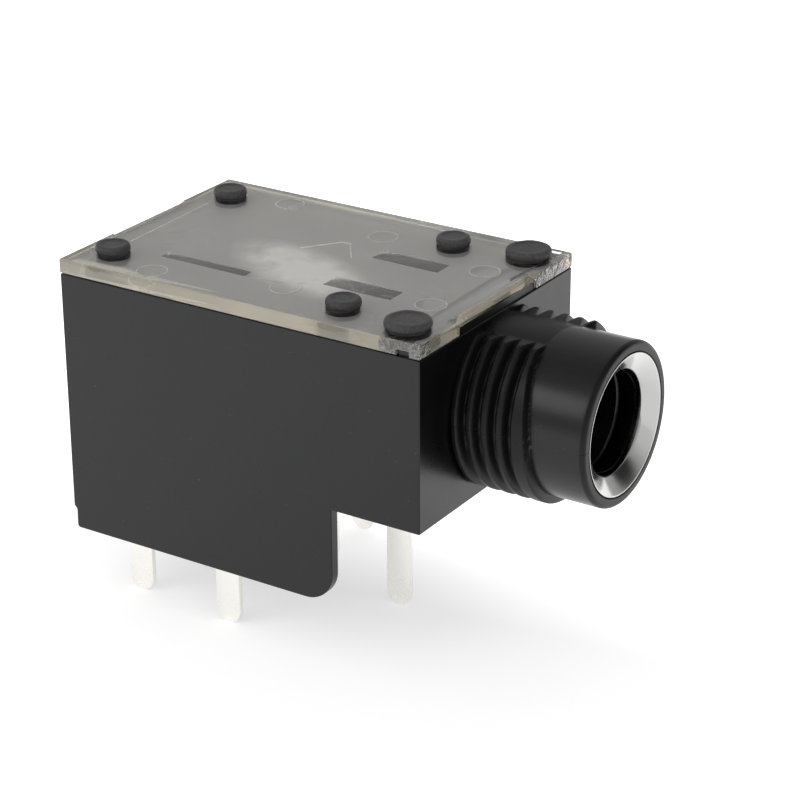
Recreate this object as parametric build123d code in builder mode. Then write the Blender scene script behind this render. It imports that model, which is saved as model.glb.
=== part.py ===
from build123d import *
import os

# Board-mounted stereo jack socket for a 6.35 mm plug, with a normalling contact
# for each pole. All sizes are in millimetres.
# The origin is on the plug's axis, where it passes the front face of the housing,
# the face that bears on a panel. +X points out of the mouth and +Z is up.
# The near side is the one towards -Y, and the far side is its mirror image.
NEAR = -1
FAR = 1

# Plug
plug_radius = 3.175
plug_neck_radius = 2.0
bore_clearance = 0.025

# Housing block
body_length = 26.05
body_width = 17.54
rim_height = 5.28
front_depth = 5.77
board_depth = 12.1
front_foot_length = 6.2
front_block_length = 4.9
side_wall = 0.9
rear_wall = 1.15
skirt_wall = 0.7
floor_thickness = 1.17
skirt_corner_round = 2.0
foot_relief = 0.2
foot_relief_height = 1.5
block_edge_round = 0.15

# Threaded nose
nose_length = 8.65
nose_radius = 5.05
nose_rim_chamfer = 0.28
nose_rim_wall = 0.64
collar_length = 5.08
thread_crest_radius = 5.58
thread_depth = 0.49
thread_pitch = 1.0
thread_top_offset = 0.52
thread_turns = 6
thread_crest_flat = 0.2
thread_root_flat = 0.18
groove_flare = 0.3
core_cover = 0.03
collar_chamfer = 0.15
collar_land = 0.1
band_half_angle = 21.0
band_ramp_angle = 31.0
relief_width = 0.22
relief_depth = 0.2

# Ferrule
ferrule_length = 2.25
ferrule_wall = 0.7
ferrule_cone_depth = 0.65
ferrule_lip = 0.05
ferrule_flange_thickness = 0.35
ferrule_fit_gap = 0.02
ferrule_rim_gap = 0.07

# Staked posts and their heads
rear_post_setback = 1.0
middle_post_x = -6.95
small_post_inset = 1.77
large_post_x = -2.0
large_post_inset = 1.98
small_post_radius = 0.75
small_head_radius = 1.07
small_head_height = 0.53
large_post_radius = 1.0
large_head_radius = 1.41
large_head_height = 0.58
head_edge_slope = 0.18
head_flare = 0.24
boss_reach = 0.95
sleeve_boss_gap = 0.775

# Lid
lid_thickness = 0.91
lid_hole_clearance = 0.06
lid_gap = 0.05
lid_edge_chamfer = 0.07
front_rib_height = 0.44
front_rib_thickness = 0.75
front_rib_half_width = 4.35
side_key_height = 0.3
side_key_length = 0.8
side_key_x = -1.15
side_key_width = 0.75
scoop_half_width = 3.7
scoop_run_out = 1.3
scoop_setback = 0.5
scoop_depth = 0.4
scoop_slope = 45
scoop_round = 1.3
scoop_overrun = 1.0
rear_recess_half_width = 3.55
rear_recess_depth = 0.18

# Pockets in the underside of the lid, over the sprung arms
pocket_depth = 0.15
tip_pocket_setback = 1.3
tip_pocket_y = 4.225
tip_pocket_width = 0.85
sleeve_pocket_length = 4.8
near_sleeve_pocket_y = 2.5
near_sleeve_pocket_width = 1.5
far_sleeve_pocket_y = 2.75
far_sleeve_pocket_width = 1.5

# Contact metal
strip = 0.35
bend_radius = 0.45
pin_width = 1.75
pin_tip = -16.2
pin_slot_gap = 0.08
shoulder = 0.35
seat_gap = 0.03
rest_gap = 0.08
hinge_gap = 0.05
arm_half_height = 1.8
arm_end_round = 0.7

# Tip and ring contacts
terminal_pad_thickness = 0.665
terminal_plate_length = 1.875
tip_terminal_top = 2.4
ring_terminal_top = 4.9
arm_root_y = 4.6
arm_root_run = 1.2
arm_root_bend = 1.0
arm_apex_bend = 0.6
arm_knee_bend = 0.5
arm_knee_run = 1.5
arm_rest_y = 4.05
tip_apex_x = -18.15
tip_press = 0.07
tip_tail_run = 0.95
ring_apex_x = -15.0
ring_press = 0.725
ring_tail_run = 0.6

# Switch contacts of the tip and the ring
switch_wall_gap = 0.095
switch_pin_x = -14.8
switch_overlap = 0.5
tip_switch_reach = 1.25
ring_switch_reach = 0.6

# Sleeve contact
sleeve_front_gap = 0.1
sleeve_plate_length = 3.6
sleeve_pin_setback = 2.02
sleeve_upright_y = 4.2
sleeve_upright_length = 1.0
sleeve_arm_bottom = -3.0
sleeve_root_run = 0.7
sleeve_root_bend = 0.8
sleeve_apex_bend = 0.6
sleeve_knee_bend = 0.4
sleeve_apex_x = -9.0
sleeve_press = 0.475
sleeve_knee_run = 0.85
sleeve_knee_rise = 0.355
sleeve_tail_run = 0.65

# Sleeve switch
sleeve_switch_x = -14.5
sleeve_switch_bar_height = 1.1
sleeve_switch_finger_top = -2.05
sleeve_switch_finger_width = 0.9

# Cradles on the floor, for the plug
cradle_thickness = 0.9
cradle_half_width = 4.4
cradle_top = -2.1
cradle_clearance = 0.1
cradle_spacing = 4.0
cradle_gap = 0.25

# Sizes that follow from the ones above
bore_radius = plug_radius + bore_clearance
half_width = body_width / 2
floor_top = -front_depth + floor_thickness
lid_top = rim_height + lid_thickness
cavity_half_width = half_width - side_wall
cavity_rear_x = -body_length + rear_wall
thread_root_radius = thread_crest_radius - thread_depth

ferrule_seat_x = nose_length - ferrule_length
ferrule_tube_radius = bore_radius + ferrule_wall
ferrule_flange_radius = nose_radius - nose_rim_wall - ferrule_rim_gap

rear_post_x = cavity_rear_x + rear_post_setback
small_post_y = cavity_half_width - small_post_inset
large_post_y = half_width - large_post_inset
small_posts = [(x, side * small_post_y) for x in (rear_post_x, middle_post_x) for side in (NEAR, FAR)]
large_posts = [(large_post_x, side * large_post_y) for side in (NEAR, FAR)]
post_holes = [(spot, small_post_radius) for spot in small_posts]
post_holes += [(spot, large_post_radius) for spot in large_posts]

flange_x = rear_post_x + boss_reach + strip / 2
terminal_pad_y = cavity_half_width - terminal_pad_thickness
terminal_y = terminal_pad_y - seat_gap - strip / 2
terminal_pin_x = flange_x - strip / 2 + pin_width / 2
terminal_plate_end_x = flange_x + terminal_plate_length
tip_tail_x = tip_apex_x + arm_knee_run + tip_tail_run
ring_tail_x = ring_apex_x + arm_knee_run + ring_tail_run

switch_y = cavity_half_width - switch_wall_gap - strip / 2
switch_leg_y = arm_rest_y - strip - rest_gap
switch_rear_x = switch_pin_x - pin_width / 2 - shoulder
tip_switch_flange_x = switch_pin_x + tip_switch_reach
ring_switch_flange_x = ring_tail_x + ring_switch_reach

sleeve_plate_front_x = -front_block_length - sleeve_front_gap
sleeve_plate_rear_x = sleeve_plate_front_x - sleeve_plate_length
sleeve_pin_x = sleeve_plate_front_x - sleeve_pin_setback
sleeve_root_x = sleeve_plate_front_x - sleeve_upright_length - hinge_gap - strip / 2
middle_boss_y = sleeve_upright_y + strip / 2 + sleeve_boss_gap
sleeve_apex_y = plug_radius - sleeve_press + strip / 2
sleeve_knee_x = sleeve_apex_x - sleeve_knee_run
sleeve_tail_x = sleeve_knee_x - sleeve_tail_run
sleeve_tail_y = sleeve_apex_y + sleeve_knee_rise
sleeve_switch_y = sleeve_tail_y - strip - rest_gap
sleeve_switch_rear_x = sleeve_switch_x - pin_width / 2 - shoulder

front_cradle_x = sleeve_switch_rear_x - cradle_gap - cradle_thickness / 2
rear_cradle_x = front_cradle_x - cradle_spacing

pin_slots = [
    (terminal_pin_x, NEAR * terminal_y),
    (terminal_pin_x, FAR * terminal_y),
    (switch_pin_x, NEAR * switch_y),
    (switch_pin_x, FAR * switch_y),
    (sleeve_switch_x, sleeve_switch_y),
    (sleeve_pin_x, 0.0),
]

os.makedirs("parts", exist_ok=True)


def upright_strip(points, radii, bottom, top, rounded_root=False):
    """Stands a strip of contact metal on edge along a course seen from above."""
    with BuildSketch(Plane.XY.offset(bottom)) as plan:
        with BuildLine() as course:
            FilletPolyline(*points, radius=radii)
        trace(course.line, line_width=strip)
        if rounded_root:
            with Locations(points[0]):
                Circle(strip / 2)
    extrude(plan.sketch, amount=top - bottom)


def pin_blade(x, y, top):
    """A flat solder pin with a round end, its broad face along the socket."""
    end_radius = pin_width / 2
    with BuildSketch(Plane.XZ.offset(-y)) as outline:
        with Locations((x, (pin_tip + end_radius + top) / 2)):
            Rectangle(pin_width, top - pin_tip - end_radius)
        with Locations((x, pin_tip + end_radius)):
            Circle(end_radius)
    extrude(outline.sketch, amount=strip / 2, both=True)


def shoulder_plate(low_x, high_x, y, top):
    """The wide part of a terminal, which stands on the floor over its slot."""
    with BuildSketch(Plane.XZ.offset(-y)) as outline:
        with Locations(((low_x + high_x) / 2, (floor_top + top) / 2)):
            Rectangle(high_x - low_x, top - floor_top)
    extrude(outline.sketch, amount=strip / 2, both=True)


def sprung_arm_course(side, apex_x, contact_y, tail_x):
    """Course of a tip or ring arm: in to the plug, then out to its rest."""
    apex_y = contact_y + strip / 2
    return [
        (flange_x, side * arm_root_y),
        (flange_x + arm_root_run, side * arm_root_y),
        (apex_x, side * apex_y),
        (apex_x + arm_knee_run, side * arm_rest_y),
        (tail_x, side * arm_rest_y),
    ]


def save(piece, name):
    """Labels a finished piece and writes it to its own file."""
    piece.part.label = name
    export_step(piece.part, f"parts/{name}.step")


# The helical groove between the thread's ridges, right-handed, starting inside
# the block and ending under the smooth band on top of the nose.
groove_start_x = thread_top_offset - 2 * thread_pitch
groove_length = thread_turns * thread_pitch
groove_depth = thread_depth + core_cover
groove_half_width = (thread_pitch - thread_crest_flat) / 2
groove_slope = (groove_half_width - thread_root_flat / 2) / groove_depth

with BuildPart() as thread_groove:
    with BuildLine() as helix:
        Helix(
            pitch=thread_pitch,
            height=groove_length,
            radius=thread_crest_radius,
            center=(groove_start_x, 0, 0),
            direction=(1, 0, 0),
        )
    groove_start = helix.line @ 0
    outward = Vector(0, groove_start.Y, groove_start.Z).normalized()
    with BuildSketch(Plane(origin=groove_start, x_dir=outward, z_dir=helix.line % 0)):
        with BuildLine():
            wide = groove_half_width + groove_slope * groove_flare
            Polyline(
                (groove_flare, -wide),
                (-groove_depth, -thread_root_flat / 2),
                (-groove_depth, thread_root_flat / 2),
                (groove_flare, wide),
                close=True,
            )
        make_face()
    sweep(is_frenet=True)

# The threaded collar at the root of the nose, with a smooth band along its top and
# a narrow land at its foot, where the thread runs out before the panel's face.
band_low = Vector(0, thread_root_radius - core_cover).rotate(Axis.Z, -band_half_angle)
ramp_top = Vector(0, thread_crest_radius + groove_flare).rotate(Axis.Z, -band_ramp_angle)

with BuildPart() as collar:
    with BuildSketch(Plane.YZ):
        Circle(thread_crest_radius)
    extrude(amount=collar_length)
    chamfer(collar.edges().filter_by(GeomType.CIRCLE).sort_by(Axis.X)[-1], length=collar_chamfer)
    add(thread_groove.part, mode=Mode.SUBTRACT)
    with BuildSketch(Plane.YZ):
        Circle(thread_crest_radius)
    extrude(amount=collar_land)
    with BuildSketch(Plane.YZ):
        with BuildLine():
            ThreePointArc(
                (-band_low.X, band_low.Y),
                (0, thread_root_radius - core_cover),
                (band_low.X, band_low.Y),
            )
            Polyline(
                (band_low.X, band_low.Y),
                (ramp_top.X, ramp_top.Y),
                (0, thread_crest_radius + 2 * groove_flare),
                (-ramp_top.X, ramp_top.Y),
                (-band_low.X, band_low.Y),
            )
        make_face()
    extrude(amount=collar_length, mode=Mode.SUBTRACT)
    with BuildSketch(Plane.YZ):
        Circle(thread_root_radius)
    extrude(amount=collar_length)

with BuildPart() as housing:
    # Side outline: the block over the board, its raised front foot and the skirts.
    with BuildSketch(Plane.XZ.offset(-half_width)) as side_outline:
        with BuildLine():
            Polyline(
                (0, rim_height),
                (-body_length, rim_height),
                (-body_length, -board_depth + foot_relief_height),
                (-body_length + foot_relief, -board_depth + foot_relief_height - foot_relief),
                (-body_length + foot_relief, -board_depth),
                (-front_foot_length, -board_depth),
                (-front_foot_length, -front_depth),
                (0, -front_depth),
                close=True,
            )
        make_face()
        lowest = side_outline.vertices().group_by(Axis.Y)[0].sort_by(Axis.X)
        fillet(lowest[-1], radius=skirt_corner_round)
        fillet(side_outline.vertices().group_by(Axis.Y)[0].sort_by(Axis.X)[0], radius=foot_relief)
    extrude(amount=body_width)
    fillet(housing.edges().filter_by(Axis.Z).group_by(Axis.X)[-1], radius=block_edge_round)

    # Hollow under the floor, between the skirts and open to the front.
    with BuildSketch(Plane.XY.offset(-board_depth)):
        with Locations(((cavity_rear_x - front_foot_length) / 2, 0)):
            Rectangle(-front_foot_length - cavity_rear_x, body_width - 2 * skirt_wall)
    extrude(amount=board_depth - front_depth, mode=Mode.SUBTRACT)

    # Contact chamber, open at the top under the lid.
    with BuildSketch(Plane.XY.offset(floor_top)):
        with Locations(((cavity_rear_x - front_block_length) / 2, 0)):
            Rectangle(-front_block_length - cavity_rear_x, 2 * cavity_half_width)
    extrude(amount=rim_height - floor_top, mode=Mode.SUBTRACT)

    # Bosses in the chamber's corners and along its walls, under the small posts. The
    # ones in the middle end clear of the sleeve arms.
    with BuildSketch(Plane.XY.offset(floor_top)):
        for rear_x, front_x, inner_y in (
            (cavity_rear_x, rear_post_x + boss_reach, small_post_y - boss_reach),
            (middle_post_x - boss_reach, middle_post_x + boss_reach, middle_boss_y),
        ):
            for side in (NEAR, FAR):
                with Locations(((rear_x + front_x) / 2, side * (inner_y + cavity_half_width) / 2)):
                    Rectangle(front_x - rear_x, cavity_half_width - inner_y)
    extrude(amount=rim_height - floor_top)

    # Two low webs that cradle the plug as it slides in.
    with BuildSketch(Plane.XY.offset(floor_top)):
        with Locations((rear_cradle_x, 0), (front_cradle_x, 0)):
            Rectangle(cradle_thickness, 2 * cradle_half_width)
    extrude(amount=cradle_top - floor_top)

    # Pads that back the tip and ring terminals against the side walls.
    pad_centre_x = (flange_x + terminal_plate_end_x) / 2
    pad_centre_y = (terminal_pad_y + cavity_half_width) / 2
    for side, pad_top in ((NEAR, tip_terminal_top), (FAR, ring_terminal_top)):
        with BuildSketch(Plane.XY.offset(floor_top)):
            with Locations((pad_centre_x, side * pad_centre_y)):
                Rectangle(terminal_plate_length, terminal_pad_thickness)
        extrude(amount=pad_top - floor_top)

    # Nose: threaded collar, relief groove and smooth end. The groove stops at the
    # smooth band, which runs straight on along the top.
    add(collar.part)
    with BuildSketch(Plane.YZ.offset(collar_length)):
        Circle(nose_radius)
        with BuildLine():
            band_side = Vector(0, 2 * nose_radius).rotate(Axis.Z, band_half_angle)
            Polyline((0, 0), (band_side.X, band_side.Y), (-band_side.X, band_side.Y), close=True)
        make_face(mode=Mode.INTERSECT)
        Circle(nose_radius - relief_depth)
    extrude(amount=relief_width)
    with BuildSketch(Plane.YZ.offset(collar_length + relief_width)):
        Circle(nose_radius)
    extrude(amount=nose_length - collar_length - relief_width)
    chamfer(housing.edges().filter_by(GeomType.CIRCLE).sort_by(Axis.X)[-1], length=nose_rim_chamfer)

    # Rib along the front of the rim, and a key on each side, that locate the lid.
    with BuildSketch(Plane.XY.offset(rim_height)):
        with Locations((-front_rib_thickness / 2, 0)):
            Rectangle(front_rib_thickness, 2 * front_rib_half_width)
    extrude(amount=front_rib_height)
    with BuildSketch(Plane.XY.offset(rim_height)):
        for side in (NEAR, FAR):
            with Locations((side_key_x, side * (half_width - side_key_width / 2))):
                Rectangle(side_key_length, side_key_width)
    extrude(amount=side_key_height)

    # Plug passage and the stepped seat of the ferrule.
    with BuildSketch(Plane.YZ.offset(-front_block_length)):
        Circle(bore_radius)
    extrude(amount=front_block_length + nose_length, mode=Mode.SUBTRACT)
    with BuildSketch(Plane.YZ.offset(ferrule_seat_x - ferrule_fit_gap)):
        Circle(ferrule_tube_radius + ferrule_fit_gap)
    extrude(amount=ferrule_length + ferrule_fit_gap, mode=Mode.SUBTRACT)
    with BuildSketch(Plane.YZ.offset(nose_length - ferrule_flange_thickness - ferrule_fit_gap)):
        Circle(nose_radius - nose_rim_wall)
    extrude(amount=ferrule_flange_thickness + ferrule_fit_gap, mode=Mode.SUBTRACT)

    # The plug's path through the cradles.
    with BuildSketch(Plane.YZ.offset(rear_cradle_x - cradle_thickness)):
        Circle(bore_radius + cradle_clearance)
    extrude(amount=cradle_spacing + 2 * cradle_thickness, mode=Mode.SUBTRACT)

    # Slots in the floor for the solder pins.
    with BuildSketch(Plane.XY.offset(-front_depth)):
        with Locations(*pin_slots):
            Rectangle(pin_width + 2 * pin_slot_gap, strip + 2 * pin_slot_gap)
    extrude(amount=floor_thickness, mode=Mode.SUBTRACT)

    # Posts through the lid, their ends staked over into round heads that flare out
    # from the lid's face.
    heads = [(spot, small_post_radius, small_head_radius, small_head_height) for spot in small_posts]
    heads += [(spot, large_post_radius, large_head_radius, large_head_height) for spot in large_posts]
    for (x, y), radius, head_radius, head_height in heads:
        head_top = lid_top + head_height
        with BuildSketch(Plane(origin=(x, y, 0), x_dir=(1, 0, 0), z_dir=(0, -1, 0))):
            with BuildLine():
                Polyline(
                    (0, rim_height),
                    (radius, rim_height),
                    (radius, lid_top),
                    (head_radius, lid_top + head_flare),
                    (head_radius, head_top - head_edge_slope),
                    (head_radius - head_edge_slope, head_top),
                    (0, head_top),
                    close=True,
                )
            make_face()
        revolve(axis=Axis((x, y, 0), (0, 0, 1)))

save(housing, "housing")

with BuildPart() as ferrule:
    with BuildSketch(Plane.XZ):
        with BuildLine():
            Polyline(
                (ferrule_seat_x, bore_radius),
                (nose_length - ferrule_cone_depth, bore_radius),
                (nose_length, ferrule_flange_radius - ferrule_lip),
                (nose_length, ferrule_flange_radius),
                (nose_length - ferrule_flange_thickness, ferrule_flange_radius),
                (nose_length - ferrule_flange_thickness, ferrule_tube_radius),
                (ferrule_seat_x, ferrule_tube_radius),
                close=True,
            )
        make_face()
    revolve(axis=Axis.X)

save(ferrule, "ferrule")

with BuildPart() as lid:
    with BuildSketch(Plane.XY.offset(rim_height)):
        with Locations((-body_length / 2, 0)):
            Rectangle(body_length, body_width)
    extrude(amount=lid_thickness)

    # Shallow recess along the rear edge.
    with BuildSketch(Plane.XY.offset(rim_height)):
        with Locations((-body_length, 0)):
            Rectangle(2 * rear_recess_depth, 2 * rear_recess_half_width)
    extrude(amount=lid_thickness, mode=Mode.SUBTRACT)
    chamfer(lid.faces().sort_by(Axis.Z)[-1].edges(), length=lid_edge_chamfer)

    # Rabbet over the front rib and notches over the side keys.
    with BuildSketch(Plane.XY.offset(rim_height)):
        with Locations((0, 0)):
            Rectangle(2 * (front_rib_thickness + lid_gap), 2 * (front_rib_half_width + lid_gap))
    extrude(amount=front_rib_height + lid_gap, mode=Mode.SUBTRACT)
    with BuildSketch(Plane.XY.offset(rim_height)):
        for side in (NEAR, FAR):
            with Locations((side_key_x, side * half_width)):
                Rectangle(side_key_length + 2 * lid_gap, 2 * (side_key_width + lid_gap))
    extrude(amount=side_key_height + lid_gap, mode=Mode.SUBTRACT)

    # Sloping scoop in the top edge at the front, with curved ends.
    with BuildSketch(Plane.XY.offset(lid_top)) as scoop:
        with BuildLine():
            Polyline(
                (scoop_overrun, -scoop_half_width - scoop_run_out - scoop_overrun),
                (0, -scoop_half_width - scoop_run_out),
                (-scoop_setback, -scoop_half_width),
                (-scoop_setback, scoop_half_width),
                (0, scoop_half_width + scoop_run_out),
                (scoop_overrun, scoop_half_width + scoop_run_out + scoop_overrun),
                close=True,
            )
        make_face()
        fillet(scoop.vertices().sort_by(Axis.X)[:4], radius=scoop_round)
    extrude(amount=-scoop_depth, taper=scoop_slope, mode=Mode.SUBTRACT)

    # Holes for the posts.
    with BuildSketch(Plane.XY.offset(rim_height)):
        for spot, radius in post_holes:
            with Locations(spot):
                Circle(radius + lid_hole_clearance)
    extrude(amount=lid_thickness, mode=Mode.SUBTRACT)

    # Pockets in the underside over the tip arm and the two sleeve arms.
    tip_pocket_rear_x = flange_x + tip_pocket_setback
    sleeve_pocket_x = sleeve_tail_x + strip / 2 + sleeve_pocket_length / 2
    with BuildSketch(Plane.XY.offset(rim_height)):
        with Locations(((tip_pocket_rear_x + tip_tail_x) / 2, NEAR * tip_pocket_y)):
            Rectangle(tip_tail_x - tip_pocket_rear_x, tip_pocket_width)
        with Locations((sleeve_pocket_x, NEAR * near_sleeve_pocket_y)):
            Rectangle(sleeve_pocket_length, near_sleeve_pocket_width)
        with Locations((sleeve_pocket_x, FAR * far_sleeve_pocket_y)):
            Rectangle(sleeve_pocket_length, far_sleeve_pocket_width)
    extrude(amount=pocket_depth, mode=Mode.SUBTRACT)

save(lid, "lid")

# Tip and ring contacts: a terminal against the side wall, whose rear flange
# carries a sprung arm that reaches forward beside the plug. The ring's contact is
# the taller one and reaches up to just under the lid.
flange_course = [
    (terminal_plate_end_x, terminal_y),
    (flange_x, terminal_y),
    (flange_x, arm_root_y + strip / 2 + hinge_gap),
]

with BuildPart() as tip_terminal:
    upright_strip([(x, NEAR * y) for x, y in flange_course], bend_radius, floor_top, tip_terminal_top)
    pin_blade(terminal_pin_x, NEAR * terminal_y, floor_top + shoulder)

save(tip_terminal, "tip_terminal")

with BuildPart() as ring_terminal:
    upright_strip([(x, FAR * y) for x, y in flange_course], bend_radius, floor_top, ring_terminal_top)
    pin_blade(terminal_pin_x, FAR * terminal_y, floor_top + shoulder)

save(ring_terminal, "ring_terminal")

arm_bends = [arm_root_bend, arm_apex_bend, arm_knee_bend]

with BuildPart() as tip_spring:
    upright_strip(
        sprung_arm_course(NEAR, tip_apex_x, plug_neck_radius - tip_press, tip_tail_x),
        arm_bends,
        -arm_half_height,
        arm_half_height,
        rounded_root=True,
    )
    fillet(tip_spring.edges().filter_by(Axis.Y).group_by(Axis.X)[-1], radius=arm_end_round)

save(tip_spring, "tip_spring")

with BuildPart() as ring_spring:
    upright_strip(
        sprung_arm_course(FAR, ring_apex_x, plug_radius - ring_press, ring_tail_x),
        arm_bends,
        -arm_half_height,
        ring_terminal_top,
        rounded_root=True,
    )
    fillet(ring_spring.edges().filter_by(Axis.Y).group_by(Axis.X)[-1], radius=arm_end_round)

save(ring_spring, "ring_spring")


def switch_course(side, flange, tail_x):
    """Course of a switch contact: along the wall, inwards, and back to the arm's end."""
    return [
        (switch_rear_x, side * switch_y),
        (flange, side * switch_y),
        (flange, side * switch_leg_y),
        (tail_x - switch_overlap, side * switch_leg_y),
    ]


with BuildPart() as tip_switch:
    course = switch_course(NEAR, tip_switch_flange_x, tip_tail_x)
    upright_strip(course, bend_radius, -arm_half_height, arm_half_height)
    shoulder_plate(switch_rear_x, switch_pin_x + pin_width / 2, NEAR * switch_y, arm_half_height)
    pin_blade(switch_pin_x, NEAR * switch_y, floor_top + shoulder)

save(tip_switch, "tip_switch")

with BuildPart() as ring_switch:
    course = switch_course(FAR, ring_switch_flange_x, ring_tail_x)
    upright_strip(course, bend_radius, -arm_half_height, arm_half_height)
    shoulder_plate(switch_rear_x, switch_pin_x + pin_width / 2, FAR * switch_y, arm_half_height)
    pin_blade(switch_pin_x, FAR * switch_y, floor_top + shoulder)

save(ring_switch, "ring_switch")

# Sleeve contact: a plate on the floor whose two uprights carry an arm each side
# of the plug.
with BuildPart() as sleeve_terminal:
    with BuildSketch(Plane.XY.offset(floor_top)):
        with Locations((sleeve_plate_front_x - sleeve_upright_length / 2, 0)):
            Rectangle(sleeve_upright_length, 2 * sleeve_upright_y + strip)
        with BuildLine():
            Polyline(
                (sleeve_plate_front_x, strip / 2),
                (sleeve_plate_rear_x, strip / 2),
                (sleeve_plate_rear_x, -sleeve_upright_y / 2),
                (sleeve_plate_front_x, -sleeve_upright_y - strip / 2),
                close=True,
            )
        make_face()
    extrude(amount=strip)
    upright_x = sleeve_plate_front_x - sleeve_upright_length / 2
    for side in (NEAR, FAR):
        with BuildSketch(Plane.XZ.offset(-side * sleeve_upright_y)):
            with Locations((upright_x, (floor_top + arm_half_height) / 2)):
                Rectangle(sleeve_upright_length, arm_half_height - floor_top)
        extrude(amount=strip / 2, both=True)
    pin_blade(sleeve_pin_x, 0, floor_top + strip)

save(sleeve_terminal, "sleeve_terminal")


def sleeve_arm_course(side):
    """Course of a sleeve arm: from its upright back to the plug, then out."""
    return [
        (sleeve_root_x, side * sleeve_upright_y),
        (sleeve_root_x - sleeve_root_run, side * sleeve_upright_y),
        (sleeve_apex_x, side * sleeve_apex_y),
        (sleeve_knee_x, side * sleeve_tail_y),
        (sleeve_tail_x, side * sleeve_tail_y),
    ]


sleeve_bends = [sleeve_root_bend, sleeve_apex_bend, sleeve_knee_bend]

with BuildPart() as sleeve_spring_near:
    course = sleeve_arm_course(NEAR)
    upright_strip(course, sleeve_bends, sleeve_arm_bottom, arm_half_height, rounded_root=True)

save(sleeve_spring_near, "sleeve_spring_near")

with BuildPart() as sleeve_spring_far:
    course = sleeve_arm_course(FAR)
    upright_strip(course, sleeve_bends, sleeve_arm_bottom, arm_half_height, rounded_root=True)

save(sleeve_spring_far, "sleeve_spring_far")

# Sleeve switch: a bar under the plug, from its pin forward to the far arm.
with BuildPart() as sleeve_switch:
    with BuildSketch(Plane.XZ.offset(-sleeve_switch_y)):
        with BuildLine():
            bar_top = floor_top + sleeve_switch_bar_height
            finger_rear_x = sleeve_knee_x - sleeve_switch_finger_width
            Polyline(
                (sleeve_switch_rear_x, floor_top),
                (sleeve_knee_x, floor_top),
                (sleeve_knee_x, sleeve_switch_finger_top),
                (finger_rear_x, sleeve_switch_finger_top),
                (finger_rear_x, bar_top),
                (sleeve_switch_rear_x, bar_top),
                close=True,
            )
        make_face()
    extrude(amount=strip / 2, both=True)
    pin_blade(sleeve_switch_x, sleeve_switch_y, floor_top + shoulder)

save(sleeve_switch, "sleeve_switch")
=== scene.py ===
import math

import bmesh
import bpy
from mathutils import Matrix, Vector, noise


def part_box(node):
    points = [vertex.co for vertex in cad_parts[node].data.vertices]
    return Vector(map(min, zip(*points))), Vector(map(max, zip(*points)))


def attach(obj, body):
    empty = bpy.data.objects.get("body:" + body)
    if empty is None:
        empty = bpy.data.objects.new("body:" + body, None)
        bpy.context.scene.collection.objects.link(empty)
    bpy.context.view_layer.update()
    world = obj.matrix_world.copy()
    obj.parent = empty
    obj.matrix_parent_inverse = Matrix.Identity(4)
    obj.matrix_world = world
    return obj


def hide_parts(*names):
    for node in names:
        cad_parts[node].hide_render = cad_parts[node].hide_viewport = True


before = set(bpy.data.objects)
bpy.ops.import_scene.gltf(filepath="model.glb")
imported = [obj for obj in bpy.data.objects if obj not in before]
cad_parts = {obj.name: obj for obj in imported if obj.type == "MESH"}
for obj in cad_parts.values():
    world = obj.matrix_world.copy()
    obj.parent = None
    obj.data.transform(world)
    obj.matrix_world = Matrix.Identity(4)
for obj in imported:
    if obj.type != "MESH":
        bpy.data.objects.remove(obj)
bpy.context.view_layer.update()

# The looks of a board-mounted jack socket. Sizes are in millimetres in the part's
# frame: the origin is on the plug's axis at the front face, +X points out of the
# mouth, +Z is up and the near side is the one towards -Y.
MM = 0.001
NEAR = -1
FAR = 1
SIDES = ((NEAR, "near"), (FAR, "far"))
UP = Vector((0, 0, 1))


def node_box(node):
    """Lowest and highest corner of a CAD node, in millimetres."""
    low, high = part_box(node)
    return low / MM, high / MM


HOUSING_LOW, HOUSING_HIGH = node_box("housing")
LID_LOW, LID_HIGH = node_box("lid")
FERRULE_LOW, FERRULE_HIGH = node_box("ferrule")
PIN_LOW, _ = node_box("tip_switch")

# Housing
BODY_REAR = HOUSING_LOW.x
HALF_WIDTH = HOUSING_HIGH.y
RIM = LID_LOW.z
LID_TOP = LID_HIGH.z
BOARD = HOUSING_LOW.z
FLOOR_LEVEL = PIN_LOW.z
FRONT_BOTTOM = -5.77
FRONT_FOOT = -6.2
FRONT_BLOCK = -4.9
SIDE_WALL = 0.9
REAR_WALL = 1.15
SKIRT_WALL = 0.7
SKIRT_CORNER = 2.0
FOOT_RELIEF = 0.2
FOOT_RELIEF_HEIGHT = 1.5
CHAMBER_FLOOR = -4.6
CHAMBER_REAR = BODY_REAR + REAR_WALL
CHAMBER_SIDE = HALF_WIDTH - SIDE_WALL
EDGE_ROUND = 0.08
BORE = 3.2

# The thin dark gap between the lid and the housing's rim
LID_AIR = 0.08
SEAT = RIM - LID_AIR

# The housing's smaller forms, which all reach into the shell by the same depth
SUNK = 0.3
RIB_REAR = -0.75
RIB_FRONT = -0.12
RIB_HALF_WIDTH = 4.35
RIB_HEIGHT = 0.44
RIB_BEVEL = 0.03
KEY_REAR = -1.55
KEY_FRONT = -0.75
KEY_SETBACK = 0.22
KEY_DEPTH = 0.75
KEY_HEIGHT = 0.3
KEY_BEVEL = 0.04
BOSS_INSIDE = 5.15
BOSSES = {"rear": (CHAMBER_REAR - SUNK, -22.95), "middle": (-7.8, -5.9)}
BOSS_BEVEL = 0.06
PAD_REAR = -22.775
PAD_FRONT = -20.9
PAD_THICKNESS = 0.665
PAD_TOPS = {"near": 2.4, "far": 4.9}
PAD_BEVEL = 0.05
CRADLES = {"rear": -20.4, "front": -16.4}
CRADLE_HALF_LENGTH = 0.45
CRADLE_HALF_WIDTH = 4.4
CRADLE_TOP = -2.1
CRADLE_BORE = BORE + 0.1
CRADLE_BEVEL = 0.05

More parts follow.
